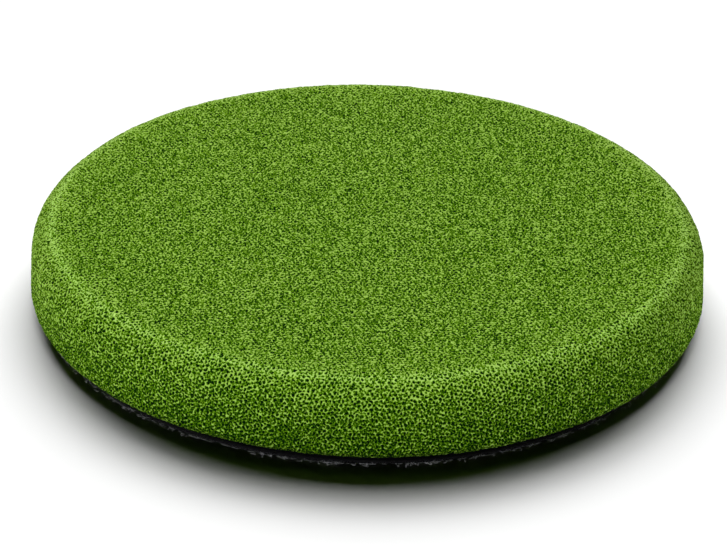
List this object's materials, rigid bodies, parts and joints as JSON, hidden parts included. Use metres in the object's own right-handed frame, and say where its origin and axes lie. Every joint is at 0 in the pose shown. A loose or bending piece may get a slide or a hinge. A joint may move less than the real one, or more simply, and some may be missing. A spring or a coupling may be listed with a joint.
{
  "type": "polishing pad",
  "caption": "Round green open-cell foam polishing pad with a flat face, a rounded shoulder and a black hook-and-loop backing.",
  "frame": {"origin": "centre of the loop face, which the pad lies on and which a backing plate holds", "axes": "+Z along the pad's axis, out of the working face; +X and +Y lie in the loop face"},
  "size_m": [0.15, 0.15, 0.02],
  "materials": {
    "foam": "matte",
    "adhesive": "satin",
    "interlayer": "matte",
    "cloth": "matte",
    "pile": "matte"
  },
  "bodies": {
    "root": {"foam_body": "foam", "foam_adhesive_film": "adhesive", "interlayer_disc": "interlayer", "loop_adhesive_film": "adhesive", "loop_cloth_ground": "cloth", "loop_pile": "pile"}
  },
  "joints": []
}
